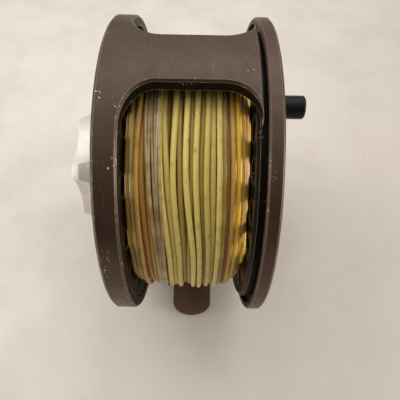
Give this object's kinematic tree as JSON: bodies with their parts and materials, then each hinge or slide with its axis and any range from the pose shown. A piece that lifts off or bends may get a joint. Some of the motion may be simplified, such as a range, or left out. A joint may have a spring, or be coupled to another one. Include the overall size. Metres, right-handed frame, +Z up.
{
  "type": "fly reel",
  "caption": "Fly reel with an open ported frame, palming-rim spool wound with fly line, lobed drag knob, barrel handle and a long reel foot.",
  "frame": {"origin": "middle of the foot's underside, the face that seats on a rod's reel seat", "axes": "+Z up from the foot to the axle and the top strap; +X along the axle towards the handle; the drag knob is at -X; -Y is the front"},
  "size_m": [0.0713, 0.083, 0.0907],
  "materials": {
    "anodised_frame": "satin hard anodised, bronze-grey",
    "anodised_spool": "satin hard anodised, bronze-brown",
    "satin_aluminium": "satin, fine blasted",
    "steel": "turned",
    "brass": "turned",
    "rubber_seal": "matt",
    "friction_composite": "woven carbon composite",
    "nylon": "natural",
    "handle_black": "satin black",
    "fly_line": "smooth coated line, olive khaki",
    "backing": "braided",
    "leader": "clear monofilament"
  },
  "bodies": {
    "frame": {"frame": "anodised_frame", "reel_foot": "anodised_frame", "foot_screws": "steel", "spindle": "steel", "drag_housing": "satin_aluminium", "housing_screws": "steel", "housing_seal": "rubber_seal", "friction_washer_inner": "friction_composite", "friction_washer_outer": "friction_composite", "pawl_pin": "steel", "click_spring": "steel", "knob_clip": "steel"},
    "drag_knob": {"drag_knob": "satin_aluminium", "knob_insert": "brass", "knob_cap": "satin_aluminium", "knob_o_ring": "rubber_seal"},
    "thrust_ring": {"thrust_ring": "steel", "belleville_washer": "steel", "pressure_plate": "steel"},
    "drag_rotor": {"drag_rotor": "steel", "rotor_bushings": "brass"},
    "drive_hub": {"drive_hub": "satin_aluminium", "clutch_shell": "steel", "clutch_rollers": "steel", "hub_bushing": "brass", "click_gear": "brass"},
    "click_pawl": {"click_pawl": "nylon"},
    "spool": {"spool": "anodised_spool", "latch_ring": "steel", "hub_bezel": "satin_aluminium", "button_spring": "steel", "counterweight": "satin_aluminium", "counterweight_screw": "steel", "handle_post": "steel", "handle_washer": "nylon", "handle_screw": "steel", "backing_line": "backing", "fly_line": "fly_line", "leader": "leader"},
    "release_button": {"release_button": "satin_aluminium"},
    "handle": {"handle_knob": "handle_black", "handle_bushing": "brass"}
  },
  "joints": [
    {"name": "drag_knob_turn", "type": "hinge", "parent": "frame", "child": "drag_knob", "pos_m": [-0.026, 0, 0.0492], "axis": [1, 0, 0], "range_deg": [0, 300]},
    {"name": "thrust_ring_press", "type": "slide", "parent": "frame", "child": "thrust_ring", "axis": [1, 0, 0], "range_m": [0, 0.0006]},
    {"name": "rotor_slip", "type": "hinge", "parent": "frame", "child": "drag_rotor", "pos_m": [-0.011, 0, 0.0492], "axis": [1, 0, 0], "continuous": true},
    {"name": "spool_spin", "type": "hinge", "parent": "frame", "child": "drive_hub", "pos_m": [0, 0, 0.0492], "axis": [1, 0, 0], "continuous": true},
    {"name": "click_pawl_lift", "type": "hinge", "parent": "frame", "child": "click_pawl", "pos_m": [-0.0044, -0.00271, 0.06456], "axis": [1, 0, 0], "range_deg": [0, 10], "stiffness_Nm_per_rad": 0.002},
    {"name": "spool_pull_off", "type": "slide", "parent": "drive_hub", "child": "spool", "axis": [1, 0, 0], "range_m": [0, 0.045]},
    {"name": "release_button_press", "type": "slide", "parent": "spool", "child": "release_button", "axis": [-1, 0, 0], "range_m": [0, 0.0011], "stiffness_N_per_m": 300, "deforming": ["button_spring"]},
    {"name": "handle_spin", "type": "hinge", "parent": "spool", "child": "handle", "pos_m": [0.027, 0.02946, 0.04474], "axis": [1, 0, 0], "continuous": true}
  ],
  "couplings": [
    {"joint": "thrust_ring_press", "follows": "drag_knob_turn", "m_per_rad": 0.0001146}
  ]
}
